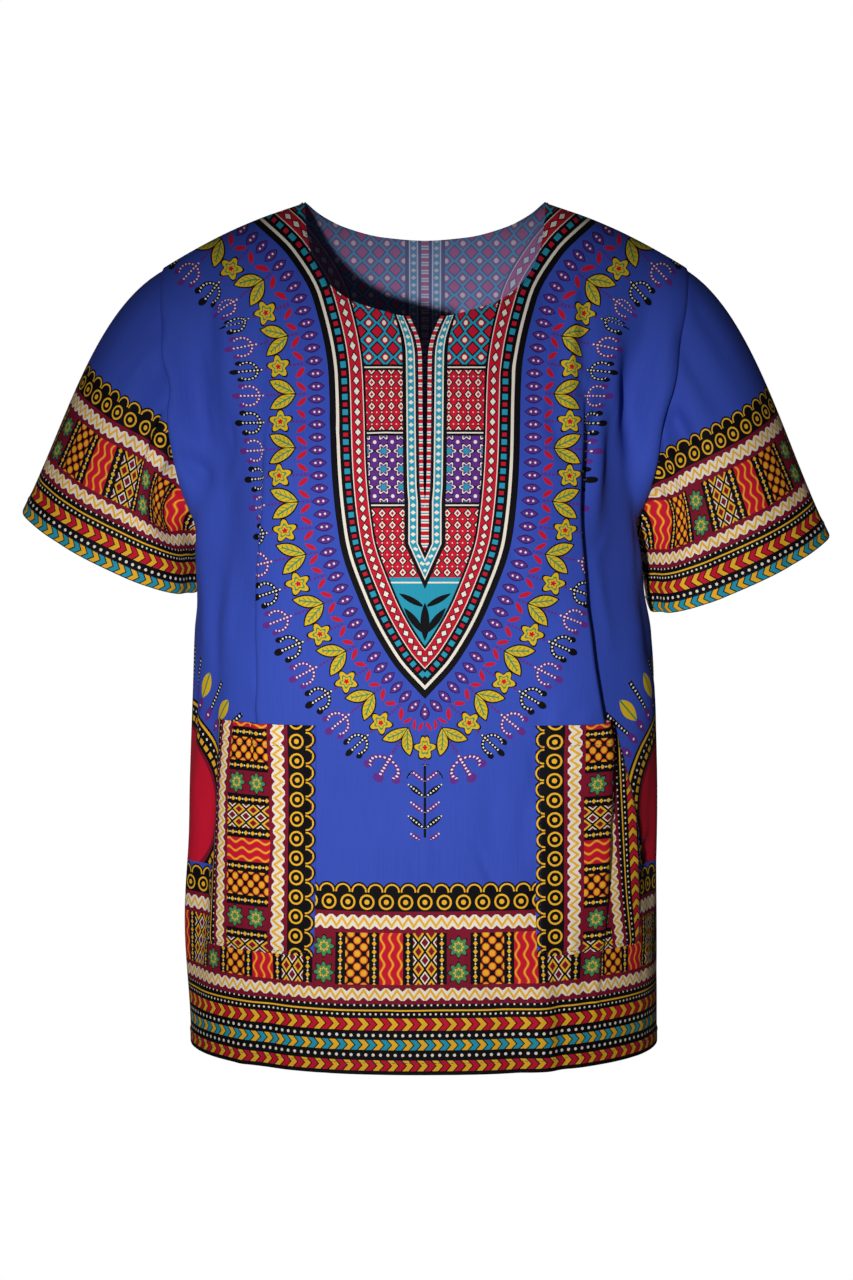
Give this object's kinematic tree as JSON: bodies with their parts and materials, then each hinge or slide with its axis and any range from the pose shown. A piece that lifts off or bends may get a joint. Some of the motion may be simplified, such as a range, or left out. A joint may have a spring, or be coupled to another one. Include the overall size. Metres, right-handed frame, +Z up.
{
  "type": "dashiki shirt",
  "caption": "Loose short-sleeved pullover shirt with a round neckline, a centre front slit, patch pockets, printed borders and open hem and cuffs, in its worn form.",
  "frame": {"origin": "midway between the neck points of the two shoulder seams, where a wearer's shoulders carry the shirt", "axes": "+Z up towards the neck, the front faces -Y, +X is the right side as seen from the front"},
  "size_m": [0.7063, 0.2731, 0.7352],
  "materials": {
    "printed_cotton": "fine royal blue cotton with a printed neck panel and borders, matt with a slight soft sheen",
    "border_cotton": "the same cotton, cut from its printed border of black, yellow, red and teal blocks"
  },
  "bodies": {
    "root": {"front": "printed_cotton", "back": "printed_cotton", "sleeve_left": "printed_cotton", "sleeve_right": "printed_cotton", "pocket_left": "border_cotton", "pocket_right": "border_cotton"}
  },
  "joints": []
}
